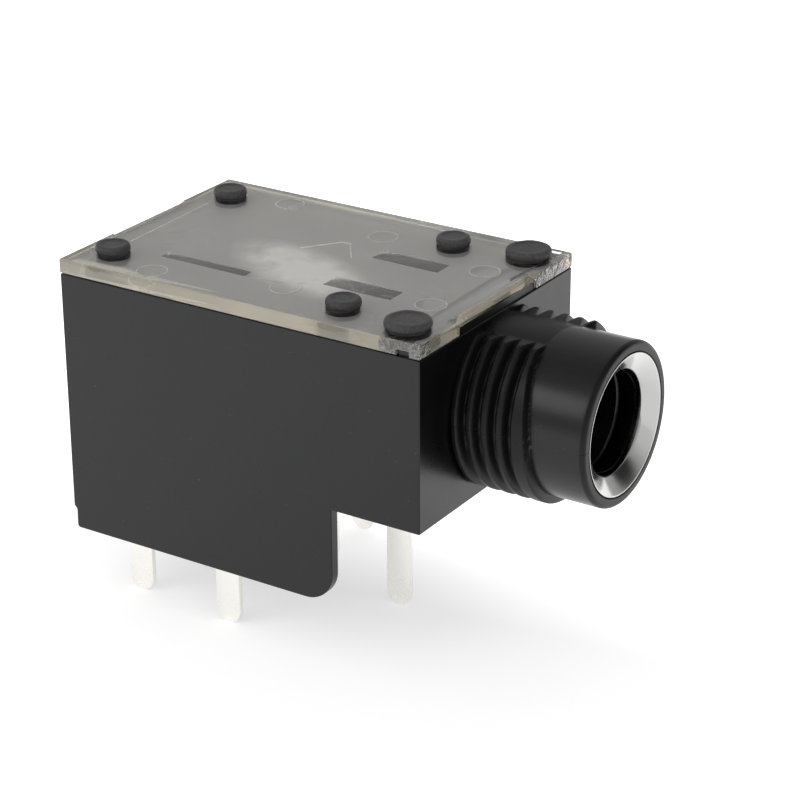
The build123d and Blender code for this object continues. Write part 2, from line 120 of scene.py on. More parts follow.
# Nose
NOSE_END = HOUSING_HIGH.x
NOSE_RADIUS = 5.05
NOSE_ROUND = 0.3
NOSE_ROUND_STEPS = 9
NOSE_OVERLAP = 0.05
BARREL_ROWS = (1.3, 0.3)
COLLAR_END = 5.08
COLLAR_ROWS = 116
COLLAR_STEP = 0.06
COLLAR_CHAMFER = 0.12
CREST = 5.58
ROOT = 5.05
PITCH = 1.0
VALLEY_AT_TOP = 0.52
VALLEYS = 4
CREST_HALF = 0.11
ROOT_HALF = 0.03
WALL_STRAIGHTNESS = 0.25
BAND_HALF_ANGLE = 21.0
RAMP_ANGLE = 31.0
SEAT_TUBE = 3.92
SEAT_FLANGE = 4.41
SEAT_START = 6.38
SEAT_LEAD = 0.1
FLANGE_SEAT_START = 8.28
FLANGE_SEAT_CHAMFER = 0.04
AROUND = 300

# Where the last ridge ends along X, by angle from the top towards the near side
RUN_OUT = (
    (0, 4.15), (20, 4.17), (42, 4.27), (62, 4.62), (82, 4.88),
    (95, 4.97), (110, 5.01), (330, 5.01), (345, 4.4), (360, 4.15),
)
RUN_OUT_WALL = 0.14

# Faces of the nose within this distance of the bore keep the smooth plastic
INNER_SKIN = 0.5

# Staked posts: the radius in the lid's hole, the melted head's radius, the width of
# its round rim, the height of its widest ring and its whole height
SMALL_POST = {"radius": 1.0, "head_radius": 1.08, "rim": 0.26, "widest": 0.27, "height": 0.575}
LARGE_POST = {"radius": 1.32, "head_radius": 1.42, "rim": 0.32, "widest": 0.29, "height": 0.575}

# Each pair's place along the plug's axis, its distance off it and its form
POSTS = {
    "rear": (-23.9, 6.1, SMALL_POST),
    "middle": (-6.95, 6.1, SMALL_POST),
    "front": (-2.0, 6.79, LARGE_POST),
}
POST_AROUND = 120
POST_ROOT = 0.2
NECK_START = 0.12
NECK_END = 0.05
NECK_WAIST = 0.08
NECK_FILLET = (0.02, 0.01)
HEAD_UNDERSIDE = 0.03
HEAD_LIMIT = HOUSING_HIGH.z - 0.001
STIFF_HEIGHT = 0.035
RIM_CLEARANCE = 0.03
RIM_FULLNESS = 0.75
RIM_STEPS = 10

# From a head's crown down to its slightly sunken top: how far inside the crown and how
# far below the top each point lies, and how deep the middle is
CROWN_EDGE = ((0.03, 0.003), (0.07, 0.015), (0.1, 0.05))
SUNKEN_MIDDLE = 0.06

# How far each melted head sits off its post's axis
HEAD_SHIFTS = {
    "rear_near": (-0.05, -0.03),
    "rear_far": (-0.03, -0.02),
    "middle_near": (0.03, 0.02),
    "middle_far": (0.03, 0.02),
    "front_near": (0.0, -0.02),
    "front_far": (0.05, 0.02),
}
SETTLING_HEIGHT = 0.1

# The heads' unevenness: its two scales per millimetre, the finer one's share, and its
# size across, as a share of the radius, and up
WOBBLE_SCALE = 1.3
RIPPLE_SCALE = 4.0
RIPPLE_SHARE = 0.4
WOBBLE_ACROSS = 0.016
WOBBLE_UP = 0.018

# Angles at which a head's melted rim is creased. The creases start at a share of the
# head's radius.
CREASES = {"front_near": (-62, -50, -38), "front_far": (-48, -20)}
CREASE_DEPTH = 0.035
CREASE_HALF_ANGLE = 3.5
CREASE_START = 0.6

# Lid
HOLE_AIR = 0.015
HOLE_CHAMFER = 0.07
HOLE_SKIN = 0.03
HOLE_CUT_BELOW = 0.3
HOLE_CUT_ABOVE = 0.1
LID_BEVEL = 0.035
CAD_POCKET = 0.15
POCKET = 0.03
REAR_POCKET_FRONT = -15.7
REAR_POCKET_LONGER = 0.6
CUT_BELOW = 0.2
EJECTOR_MARKS = ((-11.7, 5.5), (-20.1, 7.4), (-3.2, 3.7), (-11.9, -4.9), (-20.35, -6.9), (-3.1, -2.6))
EJECTOR_RADIUS = 0.95
EJECTOR_DEPTH = 0.04
EJECTOR_RING = 0.09
EJECTOR_RING_DEPTH = 0.1
EJECTOR_RING_SLOPE = 0.02

# Thin painted light lines on the lid's underside, where the top edge of a tall contact and the rear
# wall's inner edge show through. Each is a course of two points and a width.
PAINTED_LIGHT_LINES = (
    (((-14.99, 1.11), (-13.3, 3.4)), 0.2),
    (((-13.27, 3.42), (-12.65, 3.3)), 0.25),
    (((-12.6, 3.15), (-11.3, 1.3)), 0.08),
    (((-24.64, -3.51), (-24.75, 4.74)), 0.12),
)
MARK_DEPTH = 0.025

# Where the lid's edges change their look. The near side is crushed in front of NEAR_CORNER_REAR, the
# front edge outside CORNER_SIDE and on its far side outside FAR_BLOCK_SIDE, and there the crushed plastic
# also carries a painted light tone. Behind HIGHLIGHT_FRONT the bevels carry a painted highlight, and on
# the near side a painted cream glow. FRONT_SPLIT only splits the long faces once more. Faces within a
# skin of an outer side belong to it.
NEAR_CORNER_REAR = -2.75
HIGHLIGHT_FRONT = -1.6
FRONT_SPLIT = -0.72
CORNER_SIDE = 7.6
FAR_BLOCK_SIDE = 4.42
SKIN = 0.1
REAR_SKIN = 0.3
ON_LEVEL = 0.003

# Ferrule. The points of the flare's start lie outside the bore and behind the mouth,
# and those of the lip at its edge inside the flange and behind the mouth.
FERRULE_TUBE = 3.9
FLANGE_THICKNESS = 0.35
TUBE_CHAMFER = 0.05
FLARE_DEPTH = 0.72
FLARE_START = ((0, FLARE_DEPTH), (0.02, 0.66), (0.08, 0.6))
LIP = ((0.1, 0.03), (0.055, 0.004), (0.03, 0), (0.008, 0.01), (0, 0.035))

# Contacts, and the body that each one rides on
STRIP_BEVEL = 0.05

CONTACTS = {
    "tip_terminal": "socket",
    "tip_switch": "socket",
    "ring_terminal": "socket",
    "ring_switch": "socket",
    "sleeve_terminal": "socket",
    "sleeve_switch": "socket",
    "tip_spring": "tip_arm",
    "ring_spring": "ring_arm",
    "sleeve_spring_near": "sleeve_arm_near",
    "sleeve_spring_far": "sleeve_arm_far",
}


# Making and joining meshes


def new_object(name, mesh):
    piece = bpy.data.objects.new(name, mesh)
    bpy.context.scene.collection.objects.link(piece)
    return piece


def finish_mesh(name, shape):
    """Makes an object in metres from a bmesh in millimetres."""
    bmesh.ops.recalc_face_normals(shape, faces=shape.faces)
    bmesh.ops.scale(shape, vec=(MM, MM, MM), verts=shape.verts)
    mesh = bpy.data.meshes.new(name)
    shape.to_mesh(mesh)
    shape.free()
    return new_object(name, mesh)


def along_x(u, v, w):
    return Vector((w, u, v))


def along_y(u, v, w):
    return Vector((u, w, v))


def along_z(u, v, w):
    return Vector((u, v, w))


def prism(name, outline, low, high, place):
    """A closed prism from a flat outline, between two heights along one axis."""
    shape = bmesh.new()
    rings = [[shape.verts.new(place(u, v, w)) for u, v in outline] for w in (low, high)]
    for ring in rings:
        shape.faces.new(ring)
    count = len(outline)
    for i in range(count):
        j = (i + 1) % count
        shape.faces.new((rings[0][i], rings[0][j], rings[1][j], rings[1][i]))
    return finish_mesh(name, shape)


def block(name, low, high):
    outline = [(low[0], low[1]), (high[0], low[1]), (high[0], high[1]), (low[0], high[1])]
    return prism(name, outline, low[2], high[2], along_z)


def arc(centre, radius, start, end, steps):
    """Points along an arc, from one angle to another in degrees."""
    angles = [math.radians(start + (end - start) * i / steps) for i in range(steps + 1)]
    return [(centre[0] + radius * math.cos(a), centre[1] + radius * math.sin(a)) for a in angles]


def circle(centre, radius, steps):
    return arc(centre, radius, 0, 360 * (steps - 1) / steps, steps - 1)


def lathe(name, profile, place, steps):
    """Turns a closed profile of (radius, height) points about an axis."""
    shape = bmesh.new()
    rings = []
    for radius, height in profile:
        if radius == 0:
            rings.append([shape.verts.new(place(0, 0, height))])
            continue
        points = circle((0, 0), radius, steps)
        rings.append([shape.verts.new(place(u, v, height)) for u, v in points])
    for first, second in zip(rings, rings[1:] + rings[:1]):
        if len(first) == 1 and len(second) == 1:
            continue
        for i in range(steps):
            j = (i + 1) % steps
            corners = [first[i % len(first)], first[j % len(first)]]
            corners += [second[j % len(second)], second[i % len(second)]]
            unique = list(dict.fromkeys(corners))
            shape.faces.new(unique)
    return finish_mesh(name, shape)


def apply_modifiers(piece):
    shown = piece.evaluated_get(bpy.context.evaluated_depsgraph_get())
    mesh = bpy.data.meshes.new_from_object(shown)
    old = piece.data
    piece.modifiers.clear()
    piece.data = mesh
    bpy.data.meshes.remove(old)


def cut_away(piece, tool):
    """Cuts a tool solid out of a piece, and removes the tool."""
    modifier = piece.modifiers.new("cut", "BOOLEAN")
    modifier.operation = "DIFFERENCE"
    modifier.solver = "EXACT"
    modifier.object = tool
    apply_modifiers(piece)
    bpy.data.objects.remove(tool)


def move(piece, x, y):
    piece.data.transform(Matrix.Translation(Vector((x, y, 0)) * MM))


def soften(piece, width, segments=3, limit=30):
    """Rounds a piece's edges by a real bevel, with the flats left flat."""
    modifier = piece.modifiers.new("edges", "BEVEL")
    modifier.width = width * MM
    modifier.segments = segments
    modifier.limit_method = "ANGLE"
    modifier.angle_limit = math.radians(limit)
    modifier.harden_normals = True
    modifier.use_clamp_overlap = True
    piece.data.shade_smooth()
    apply_modifiers(piece)


def smooth_by_angle(piece, degrees):
    piece.data.shade_smooth()
    piece.data.set_sharp_from_angle(angle=math.radians(degrees))


def dress(piece, material, body="socket", replaces=()):
    piece.data.materials.clear()
    piece.data.materials.append(material)
    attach(piece, body)
    if replaces:
        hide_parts(*replaces)


def clamp(t):
    return min(1.0, max(0.0, t))


def ease(t):
    t = clamp(t)
    return t * t * (3 - 2 * t)


# Materials

PLASTIC_IOR = 1.47
LID_IOR = 1.5
DUST = (0.06, 0.06, 0.057)
SEAM_HEIGHT = 0.05
SEAM_HALF_WIDTH = 0.04
SEAM_DEPTH = 0.03
LID_TINT = (0.95, 0.87, 0.68, 1)
LID_DENSITY = 45.0
# A white that paints highlights and bright reflections on the lid's plastic
PAINTED_LIGHT_TONE = (0.97, 0.96, 0.93, 1)

# The painted glow on the lid's frosted underside, where the tip arm's light shows through: its middle,
# and its reach along and across the way it runs
PAINTED_GLOW_CENTRE = (-13.0, -1.9, 5.3)
PAINTED_GLOW_LENGTH = 7.0
PAINTED_GLOW_WIDTH = 3.4
PAINTED_GLOW_ALONG = Vector((0.927, -0.375, 0))
PAINTED_GLOW_ACROSS = Vector((0.375, 0.927, 0))


def new_material(name):
    material = bpy.data.materials.new(name)
    material.use_nodes = True
    nodes = material.node_tree.nodes
    return material, nodes, material.node_tree.links, nodes["Principled BSDF"]


def object_noise(nodes, links, scale, detail=4.0, roughness=0.5, stretch=(1, 1, 1)):
    """A noise texture in the piece's own space, at a scale per millimetre."""
    place = nodes.new("ShaderNodeTexCoord")
    mapping = nodes.new("ShaderNodeMapping")
    mapping.inputs["Scale"].default_value = [s / MM for s in stretch]
    texture = nodes.new("ShaderNodeTexNoise")
    texture.inputs["Scale"].default_value = scale
    texture.inputs["Detail"].default_value = detail
    texture.inputs["Roughness"].default_value = roughness
    links.new(place.outputs["Object"], mapping.inputs["Vector"])
    links.new(mapping.outputs["Vector"], texture.inputs["Vector"])
    return texture.outputs["Fac"]


def spread(nodes, links, source, low, high, from_low=0.3, from_high=0.7):
    """Stretches a value from one range to another."""
    remap = nodes.new("ShaderNodeMapRange")
    remap.inputs["From Min"].default_value = from_low
    remap.inputs["From Max"].default_value = from_high
    remap.inputs["To Min"].default_value = low
    remap.inputs["To Max"].default_value = high
    links.new(source, remap.inputs["Value"])
    return remap.outputs["Result"]


def joined(nodes, links, operation, first, second):
    """Two values, or a value and a number, joined by a maths operation."""
    join = nodes.new("ShaderNodeMath")
    join.operation = operation
    links.new(first, join.inputs[0])
    if isinstance(second, float):
        join.inputs[1].default_value = second
    else:
        links.new(second, join.inputs[1])
    return join.outputs["Value"]


def dotted(nodes, links, source, direction):
    """How far a vector reaches in a direction."""
    along = nodes.new("ShaderNodeVectorMath")
    along.operation = "DOT_PRODUCT"
    along.inputs[1].default_value = direction
    links.new(source, along.inputs[0])
    return along.outputs["Value"]


def tint(nodes, links, shader, source, stops):
    """Colours the shader along a source's value, by stops of (value, colour)."""
    ramp = nodes.new("ShaderNodeValToRGB")
    elements = ramp.color_ramp.elements
    for index, (value, colour) in enumerate(stops):
        stop = elements[index] if index < len(elements) else elements.new(value)
        stop.position = value
        stop.color = (*colour, 1)
    links.new(source, ramp.inputs["Fac"])
    links.new(ramp.outputs["Color"], shader.inputs["Base Color"])
    return ramp.color_ramp


def roughen(nodes, links, shader, source, smoothest, roughest):
    links.new(spread(nodes, links, source, smoothest, roughest), shader.inputs["Roughness"])


def emboss(nodes, links, shader, source, strength, depth):
    """Bumps the shader by a source's value, with the depth in millimetres."""
    bump = nodes.new("ShaderNodeBump")
    bump.inputs["Strength"].default_value = strength
    bump.inputs["Distance"].default_value = depth * MM
    links.new(source, bump.inputs["Height"])
    links.new(bump.outputs["Normal"], shader.inputs["Normal"])
    return bump


def grey(tone, blue=1.0):
    return (tone, tone, blue * tone)


def black_plastic(name, smoothest, roughest, grain_height, tone=0.0032, level=0.5):
    """Black moulding: faint flow marks, fine grain and a few pale dust specks."""
    material, nodes, links, shader = new_material(name)
    grain = object_noise(nodes, links, 7.0)
    flow = object_noise(nodes, links, 0.45, detail=3.0, stretch=(0.4, 1, 1))
    dust = object_noise(nodes, links, 6.0, detail=1.0)
    dark = (0.7 * tone, 0.7 * tone, 0.75 * tone)
    pale = (1.3 * tone, 1.3 * tone, 1.34 * tone)
    tint(nodes, links, shader, dust, ((0.3, dark), (0.79, pale), (0.82, DUST)))
    roughen(nodes, links, shader, flow, smoothest, roughest)
    emboss(nodes, links, shader, grain, 0.25, grain_height)
    shader.inputs["IOR"].default_value = PLASTIC_IOR
    shader.inputs["Specular IOR Level"].default_value = level
    return material


def thread_plastic():
    """A rougher, darker copy of the black plastic with a weaker reflection, used on the thread and as
    painted shade on the nose's rim and the front rib; with a faint mould seam along each side.
    """
    material = black_plastic("thread_plastic", 0.38, 0.46, 0.006, tone=0.0028, level=0.34)
    nodes = material.node_tree.nodes
    links = material.node_tree.links
    shader = nodes["Principled BSDF"]
    place = nodes.new("ShaderNodeTexCoord")
    apart = nodes.new("ShaderNodeSeparateXYZ")
    links.new(place.outputs["Object"], apart.inputs["Vector"])
    above = joined(nodes, links, "SUBTRACT", apart.outputs["Z"], SEAM_HEIGHT * MM)
    off = joined(nodes, links, "ABSOLUTE", above, 0.0)
    groove = spread(nodes, links, off, 0.0, 1.0, 0.0, SEAM_HALF_WIDTH * MM)
    grained = shader.inputs["Normal"].links[0].from_socket
    seam = emboss(nodes, links, shader, groove, 0.8, SEAM_DEPTH)
    links.new(grained, seam.inputs["Normal"])
    return material


def lid_material(name, transmission):
    """See-through plastic, with a warm tint that grows with the way through it."""
    material, nodes, links, shader = new_material(name)
    shader.inputs["Transmission Weight"].default_value = transmission
    shader.inputs["IOR"].default_value = LID_IOR
    depth = nodes.new("ShaderNodeVolumeAbsorption")
    depth.inputs["Color"].default_value = LID_TINT
    depth.inputs["Density"].default_value = LID_DENSITY
    links.new(depth.outputs["Volume"], nodes["Material Output"].inputs["Volume"])
    return material, nodes, links, shader


def clear_plastic():
    """The lid's top and pockets: clear, with soft flow lines."""
    material, nodes, links, shader = lid_material("clear_plastic", 1.0)
    shader.inputs["Base Color"].default_value = (1, 1, 1, 1)
    flow = object_noise(nodes, links, 0.35, detail=1.0, stretch=(0.5, 1, 1))
    roughen(nodes, links, shader, flow, 0.015, 0.035)
    emboss(nodes, links, shader, flow, 0.1, 0.02)
    return material


def frosted_plastic():
    """The lid's underside: finely frosted, with a painted glow near its middle for the tip arm's light
    seen through it.
    """
    material, nodes, links, shader = lid_material("frosted_plastic", 0.0)
    place = nodes.new("ShaderNodeTexCoord")
    from_centre = nodes.new("ShaderNodeVectorMath")
    from_centre.operation = "SUBTRACT"
    from_centre.inputs[1].default_value = [c * MM for c in PAINTED_GLOW_CENTRE]
    links.new(place.outputs["Object"], from_centre.inputs[0])
    oval = nodes.new("ShaderNodeCombineXYZ")
    for axis, direction, reach in (("X", PAINTED_GLOW_ALONG, PAINTED_GLOW_LENGTH), ("Y", PAINTED_GLOW_ACROSS, PAINTED_GLOW_WIDTH)):
        share = dotted(nodes, links, from_centre.outputs["Vector"], direction / (reach * MM))
        links.new(share, oval.inputs[axis])
    ball = nodes.new("ShaderNodeTexGradient")
    ball.gradient_type = "SPHERICAL"
    links.new(oval.outputs["Vector"], ball.inputs["Vector"])
    ragged = object_noise(nodes, links, 0.45, detail=5.0, roughness=0.6)
    ragged = spread(nodes, links, ragged, 0.8, 1.9)
    # Painted glow: the underside is whiter and less clear towards the middle of the tip arm's light
    painted_glow = joined(nodes, links, "MULTIPLY", ball.outputs["Fac"], ragged)
    ramp = tint(nodes, links, shader, painted_glow, ((0.0, (0.67, 0.67, 0.66)), (0.85, (1.0, 0.995, 0.98))))
    ramp.interpolation = "EASE"
    links.new(spread(nodes, links, painted_glow, 0.4, 0.05, 0.1, 0.85), shader.inputs["Transmission Weight"])
    flow = object_noise(nodes, links, 0.25, detail=1.0)
    roughen(nodes, links, shader, flow, 0.22, 0.28)
    return material


def edge_plastic():
    """The lid's cut edges: a painted cream glow for the light carried inside the plate, over the
    plastic's own warm tint.
    """
    material, nodes, links, shader = lid_material("edge_plastic", 0.78)
    cream = object_noise(nodes, links, 0.35, detail=3.0, stretch=(0.6, 1, 1))
    tint(nodes, links, shader, cream, ((0.3, (0.85, 0.79, 0.66)), (0.7, (0.96, 0.88, 0.72))))
    scrapes = object_noise(nodes, links, 0.6, detail=2.0)
    roughen(nodes, links, shader, scrapes, 0.02, 0.07)
    return material


def painted_highlight_plastic():
    """Clear plastic painted white as a highlight along the lid's bevels, hole chamfers, ejector rings and
    light lines.
    """
    material, nodes, links, shader = lid_material("painted_highlight_plastic", 0.22)
    shader.inputs["Base Color"].default_value = PAINTED_LIGHT_TONE
    worn = object_noise(nodes, links, 1.0, detail=3.0)
    roughen(nodes, links, shader, worn, 0.2, 0.4)
    return material


def crazed_plastic():
    """Clear plastic at the front corners, uneven and glinting where it was crushed, with a white share
    that paints the bright reflections there.
    """
    material, nodes, links, shader = lid_material("crazed_plastic", 0.84)
    shader.inputs["Base Color"].default_value = PAINTED_LIGHT_TONE
    cracks = object_noise(nodes, links, 1.7, detail=2.0, roughness=0.55)
    roughen(nodes, links, shader, cracks, 0.01, 0.08)
    emboss(nodes, links, shader, cracks, 1.0, 0.55)
    return material


def nickel_plate(name, base, smoothest, roughest):
    """Nickel plate with faint turning marks round the plug's axis."""
    material, nodes, links, shader = new_material(name)
    shader.inputs["Base Color"].default_value = (*grey(base, blue=0.985), 1)
    shader.inputs["Metallic"].default_value = 1.0
    marks = object_noise(nodes, links, 4.0, detail=3.0, stretch=(6, 0.15, 0.15))
    roughen(nodes, links, shader, marks, smoothest, roughest)
    emboss(nodes, links, shader, marks, 0.05, 0.005)
    return material


def tinned_strip():
    """Tin plated contact strip: warm white metal with a soft, slightly uneven coat."""
    material, nodes, links, shader = new_material("tinned_strip")
    shader.inputs["Metallic"].default_value = 1.0
    coat = object_noise(nodes, links, 1.2)
    tint(nodes, links, shader, coat, ((0.0, (0.92, 0.90, 0.85)), (1.0, (0.98, 0.96, 0.92))))
    roughen(nodes, links, shader, coat, 0.22, 0.4)
    scratches = object_noise(nodes, links, 3.0, detail=2.0, stretch=(4, 4, 0.3))
    emboss(nodes, links, shader, scratches, 0.1, 0.01)
    return material


BLACK = black_plastic("black_plastic", 0.26, 0.32, 0.003)
MELTED = black_plastic("melted_plastic", 0.46, 0.6, 0.012, tone=0.048)
SMOOTH_BLACK = black_plastic("smooth_plastic", 0.26, 0.31, 0.002)
DULL_SHADED_BLACK = thread_plastic()
CLEAR = clear_plastic()
FROSTED = frosted_plastic()
EDGE = edge_plastic()
CRAZED = crazed_plastic()
PAINTED_HIGHLIGHT = painted_highlight_plastic()
NICKEL = nickel_plate("nickel_plate", 0.53, 0.14, 0.19)
NICKEL_TUBE = nickel_plate("nickel_tube", 0.5, 0.05, 0.1)
TIN = tinned_strip()


# Housing


def side_outline():
    """The housing's side: block, raised front foot and skirt with its round corner."""
    points = [(0, SEAT), (BODY_REAR, SEAT), (BODY_REAR, BOARD + FOOT_RELIEF_HEIGHT)]
    step = BODY_REAR + FOOT_RELIEF
    points += [(step, BOARD + FOOT_RELIEF_HEIGHT - FOOT_RELIEF)]
    points += arc((step + FOOT_RELIEF, BOARD + FOOT_RELIEF), FOOT_RELIEF, 180, 270, 4)
    corner = (FRONT_FOOT - SKIRT_CORNER, BOARD + SKIRT_CORNER)
    points += arc(corner, SKIRT_CORNER, 270, 360, 16)
    points += [(FRONT_FOOT, FRONT_BOTTOM), (0, FRONT_BOTTOM)]
    return points


def make_housing_shell():
    shell = prism("housing_shell", side_outline(), -HALF_WIDTH, HALF_WIDTH, along_y)
    inner = HALF_WIDTH - SKIRT_WALL
    under = block("under", (CHAMBER_REAR, -inner, BOARD - 1), (FRONT_FOOT + 1, inner, FRONT_BOTTOM))
    cut_away(shell, under)
    chamber = block(
        "chamber",
        (CHAMBER_REAR, -CHAMBER_SIDE, CHAMBER_FLOOR),
        (FRONT_BLOCK, CHAMBER_SIDE, RIM + 1),
    )
    cut_away(shell, chamber)
    cut_away(shell, prism("passage", circle((0, 0), BORE, 96), FRONT_BLOCK - 1, 1, along_x))
    soften(shell, EDGE_ROUND)
    dress(shell, BLACK, replaces=["housing"])


def side_block(name, side, inside, outside, ends, heights, bevel):
    """A block on one side of the housing, by its inner and outer distance off the axis."""
    low_y, high_y = sorted((side * inside, side * outside))
    piece = block(name, (ends[0], low_y, heights[0]), (ends[1], high_y, heights[1]))
    soften(piece, bevel)
    dress(piece, BLACK)


def make_rim_and_chamber():
    """Front rib, side keys, bosses, terminal pads and cradles, each sunk into the shell."""
    rib = block(
        "front_rib",
        (RIB_REAR, -RIB_HALF_WIDTH, RIM - SUNK),
        (RIB_FRONT, RIB_HALF_WIDTH, RIM + RIB_HEIGHT),
    )
    soften(rib, RIB_BEVEL)
    # The rib takes the darker thread plastic as painted shade
    dress(rib, DULL_SHADED_BLACK)
    in_floor = CHAMBER_FLOOR - SUNK
    in_wall = CHAMBER_SIDE + SUNK
    for side, word in SIDES:
        inside = HALF_WIDTH - KEY_DEPTH
        outside = HALF_WIDTH - KEY_SETBACK
        heights = (RIM - SUNK, RIM + KEY_HEIGHT)
        side_block("side_key_" + word, side, inside, outside, (KEY_REAR, KEY_FRONT), heights, KEY_BEVEL)
        heights = (in_floor, SEAT)
        for place, ends in BOSSES.items():
            side_block(f"boss_{place}_{word}", side, BOSS_INSIDE, in_wall, ends, heights, BOSS_BEVEL)
    for side, word in SIDES:
        inside = CHAMBER_SIDE - PAD_THICKNESS
        ends = (PAD_REAR, PAD_FRONT)
        heights = (in_floor, PAD_TOPS[word])
        side_block("terminal_pad_" + word, side, inside, in_wall, ends, heights, PAD_BEVEL)
    for name, x in CRADLES.items():
        cradle = block(
            "cradle_" + name,
            (x - CRADLE_HALF_LENGTH, -CRADLE_HALF_WIDTH, in_floor),
            (x + CRADLE_HALF_LENGTH, CRADLE_HALF_WIDTH, CRADLE_TOP),
        )
        cut_away(cradle, prism("cut", circle((0, 0), CRADLE_BORE, 64), x - 2, x + 2, along_x))
        soften(cradle, CRADLE_BEVEL)
        dress(cradle, BLACK)


def run_out(angle):
    """Where the last ridge ends along X at an angle."""
    for (low, x_low), (high, x_high) in zip(RUN_OUT, RUN_OUT[1:]):
        if angle <= high:
            return x_low + (x_high - x_low) * (angle - low) / (high - low)
    return RUN_OUT[-1][1]


def collar_radius(x, angle):
    """Radius of the collar at x, at an angle in degrees from the top towards the near side."""
    turn = angle / 360.0
    from_valley = x - VALLEY_AT_TOP - turn * PITCH
    index = round(from_valley / PITCH)
    distance = abs(from_valley - index * PITCH)
    wall = PITCH / 2 - CREST_HALF - ROOT_HALF
    t = (distance - ROOT_HALF) / wall
    rise = WALL_STRAIGHTNESS * clamp(t) + (1 - WALL_STRAIGHTNESS) * ease(t)
    if index >= VALLEYS:
        rise = 1.0
    if x > run_out(angle):
        rise *= 1 - ease((x - run_out(angle)) / RUN_OUT_WALL)
    radius = ROOT + (CREST - ROOT) * rise
    away = min(angle, 360 - angle)
    band = ROOT + (CREST - ROOT) * (away - BAND_HALF_ANGLE) / (RAMP_ANGLE - BAND_HALF_ANGLE)
    radius = min(radius, max(ROOT, band))
    past_chamfer = x - COLLAR_END + COLLAR_CHAMFER
    if past_chamfer > 0:
        radius = min(radius, max(ROOT, CREST - past_chamfer))
    return radius


def nose_rows():
    """Rows of the nose's skin: place along X and a radius, or None on the collar."""
    rows = [(-NOSE_OVERLAP, None)]
    for i in range(COLLAR_ROWS + 1):
        rows.append((COLLAR_END * i / COLLAR_ROWS, None))
    after_collar, before_round = BARREL_ROWS
    rows += [(COLLAR_END + COLLAR_STEP, NOSE_RADIUS), (COLLAR_END + after_collar, NOSE_RADIUS)]
    rows += [(NOSE_END - NOSE_ROUND - before_round, NOSE_RADIUS)]
    centre = (NOSE_END - NOSE_ROUND, NOSE_RADIUS - NOSE_ROUND)
    rows += arc(centre, NOSE_ROUND, 90, 0, NOSE_ROUND_STEPS)
    rows += [(NOSE_END, SEAT_FLANGE + FLANGE_SEAT_CHAMFER), (NOSE_END - FLANGE_SEAT_CHAMFER, SEAT_FLANGE)]
    rows += [(FLANGE_SEAT_START, SEAT_FLANGE), (FLANGE_SEAT_START, SEAT_TUBE), (SEAT_START, SEAT_TUBE)]
    rows += [(SEAT_START, BORE + SEAT_LEAD), (SEAT_START - SEAT_LEAD, BORE), (-NOSE_OVERLAP, BORE)]
    return rows


def make_nose():
    shape = bmesh.new()
    rings = []
    for x, radius in nose_rows():
        ring = []
        for i in range(AROUND):
            angle = 360.0 * i / AROUND
            reach = collar_radius(x, angle) if radius is None else radius
            turn = math.radians(angle)
            ring.append(shape.verts.new((x, -reach * math.sin(turn), reach * math.cos(turn))))
        rings.append(ring)
    for first, second in zip(rings, rings[1:] + rings[:1]):
        for i in range(AROUND):
            j = (i + 1) % AROUND
            shape.faces.new((first[i], first[j], second[j], second[i]))
    nose = finish_mesh("threaded_nose", shape)
    smooth_by_angle(nose, 32)
    dress(nose, SMOOTH_BLACK)
    nose.data.materials.append(DULL_SHADED_BLACK)
    for face in nose.data.polygons:
        middle = face.center / MM
        angle = math.degrees(math.atan2(-middle.y, middle.z)) % 360
        outside = math.hypot(middle.y, middle.z) > BORE + INNER_SKIN
        on_thread = middle.x < run_out(angle) + RUN_OUT_WALL
        on_rim = middle.x > NOSE_END - NOSE_ROUND
        # The thread takes the darker thread plastic, and on the rim's round it is painted shade
        if outside and (on_thread or on_rim):
            face.material_index = 1


def head_profile(radius, head_radius, rim, widest, height):
    """Half section of a staked post: its neck, full round rim and slightly sunken top."""
    crown = head_radius - rim
    waist = radius - NECK_WAIST
    foot = RIM - POST_ROOT
    underside = LID_TOP + HEAD_UNDERSIDE
    fillet_out, fillet_down = NECK_FILLET
    profile = [(0, foot), (radius, foot), (radius, LID_TOP - NECK_START), (waist, LID_TOP - NECK_END)]
    profile += [(waist, underside - fillet_down), (waist + fillet_out, underside)]
    for i in range(2 - RIM_STEPS, RIM_STEPS + 1):
        turn = math.radians(90 * i / RIM_STEPS)
        out = crown + rim * abs(math.cos(turn)) ** RIM_FULLNESS
        rise = abs(math.sin(turn)) ** RIM_FULLNESS
        if i > 0:
            profile.append((out, LID_TOP + widest + (height - widest) * rise))
        else:
            drop = (widest - HEAD_UNDERSIDE) * rise
            profile.append((max(out, waist + RIM_CLEARANCE), LID_TOP + widest - drop))
    top = LID_TOP + height
    profile += [(crown - inside, top - below) for inside, below in CROWN_EDGE]
    profile += [(crown / 2, top - SUNKEN_MIDDLE), (0, top - SUNKEN_MIDDLE)]
    return profile


def crease(word, vertex):
    """How deep the melted rim is creased at a point of a head, in millimetres."""
    angle = math.degrees(math.atan2(vertex.co.y, vertex.co.x))
    depth = 0.0
    for at in CREASES.get(word, ()):
        depth = max(depth, 1 - abs(angle - at) / CREASE_HALF_ANGLE)
    return CREASE_DEPTH * depth


